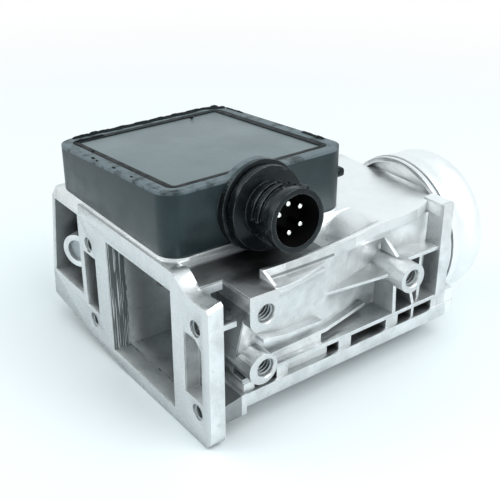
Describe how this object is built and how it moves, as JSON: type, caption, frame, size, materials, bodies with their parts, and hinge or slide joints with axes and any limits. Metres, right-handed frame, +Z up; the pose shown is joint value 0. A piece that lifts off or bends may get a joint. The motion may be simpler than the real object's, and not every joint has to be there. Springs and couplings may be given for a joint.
{
  "type": "air flow meter",
  "caption": "Vane air flow meter: cast duct with a hinged flap, round hose outlet, flange, and a lidded sensor box with a round plug socket.",
  "frame": {"origin": "centre of the four inlet flange holes on the flange face", "axes": "+Y along the air flow from inlet to outlet, +X to the plug side, +Z up through the sensor box"},
  "size_m": [0.1341, 0.151, 0.0999],
  "materials": {
    "meter_body": "as cast, satin",
    "bottom_cover": "as cast, satin",
    "bottom_cover_screws": "zinc plated",
    "lower_bearing": "turned",
    "shaft_washer": "ground",
    "bearing_plug": "pressed",
    "upper_bearing": "turned",
    "flap_shaft": "ground",
    "flap": "as cast",
    "flap_screws": "plated",
    "bypass_screw": "turned",
    "bypass_seal_ring": "moulded",
    "tamper_plug": "pressed",
    "temperature_sensor": "moulded",
    "temperature_sensor_leads": "tinned",
    "case": "moulded, satin",
    "lid": "satin grey",
    "lid_sealant": "cured sealing compound",
    "case_screws": "plated",
    "connector_insert": "moulded",
    "connector_pins": "tinned",
    "stop_bumpers": "moulded",
    "spring_wheel": "moulded",
    "return_spring": "spring steel strip",
    "spring_collet": "turned",
    "spring_lock": "pressed",
    "spring_lock_screw": "plated",
    "counterweight": "die cast",
    "counterweight_screw": "plated",
    "wiper_hub": "moulded",
    "wiper_arm": "pressed",
    "wiper_contacts": "formed",
    "potentiometer_board": "ceramic",
    "potentiometer_track": "printed",
    "board_screws": "plated",
    "lead_strip": "copper strip"
  },
  "bodies": {
    "housing": {"meter_body": "meter_body", "bottom_cover": "bottom_cover", "bottom_cover_screws": "bottom_cover_screws", "lower_bearing": "lower_bearing", "shaft_washer": "shaft_washer", "bearing_plug": "bearing_plug", "upper_bearing": "upper_bearing", "bypass_screw": "bypass_screw", "bypass_seal_ring": "bypass_seal_ring", "tamper_plug": "tamper_plug", "temperature_sensor": "temperature_sensor", "temperature_sensor_leads": "temperature_sensor_leads", "case": "case", "lid": "lid", "lid_sealant": "lid_sealant", "case_screws": "case_screws", "connector_insert": "connector_insert", "connector_pins": "connector_pins", "stop_bumpers": "stop_bumpers", "spring_wheel": "spring_wheel", "return_spring": "return_spring", "spring_lock": "spring_lock", "spring_lock_screw": "spring_lock_screw", "potentiometer_board": "potentiometer_board", "potentiometer_track": "potentiometer_track", "board_screws": "board_screws", "lead_strip": "lead_strip"},
    "flap_assembly": {"flap": "flap", "flap_screws": "flap_screws", "flap_shaft": "flap_shaft", "spring_collet": "spring_collet", "counterweight": "counterweight", "counterweight_screw": "counterweight_screw", "wiper_hub": "wiper_hub", "wiper_arm": "wiper_arm", "wiper_contacts": "wiper_contacts"}
  },
  "joints": [
    {"name": "flap_swing", "type": "hinge", "parent": "housing", "child": "flap_assembly", "pos_m": [-0.029, 0.04, 0], "axis": [0, 0, 1], "range_deg": [0, 82], "stiffness_Nm_per_rad": 0.006, "springref_deg": -28.65}
  ]
}
